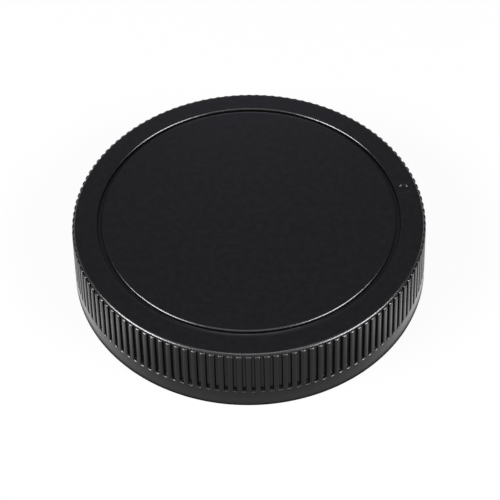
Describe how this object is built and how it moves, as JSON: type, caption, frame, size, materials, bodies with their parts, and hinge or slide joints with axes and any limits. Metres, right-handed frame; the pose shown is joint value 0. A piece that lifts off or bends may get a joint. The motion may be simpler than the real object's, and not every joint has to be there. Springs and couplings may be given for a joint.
{
  "type": "rear lens cap",
  "caption": "Round black plastic cap with a ribbed grip, a grooved closed face and a bayonet ring inside, which covers the rear mount of a camera lens.",
  "frame": {"origin": "centre of the mouth rim's plane, on which the cap stands with its closed face up", "axes": "+Z along the cap's axis, from the mouth to the closed face; +X lies 10 degrees clockwise of the index mark, seen from above"},
  "size_m": [0.06, 0.06, 0.012],
  "materials": {
    "matte_black_plastic": "fine matte moulded texture"
  },
  "bodies": {
    "root": {"rear_cap": "matte_black_plastic"}
  },
  "joints": []
}
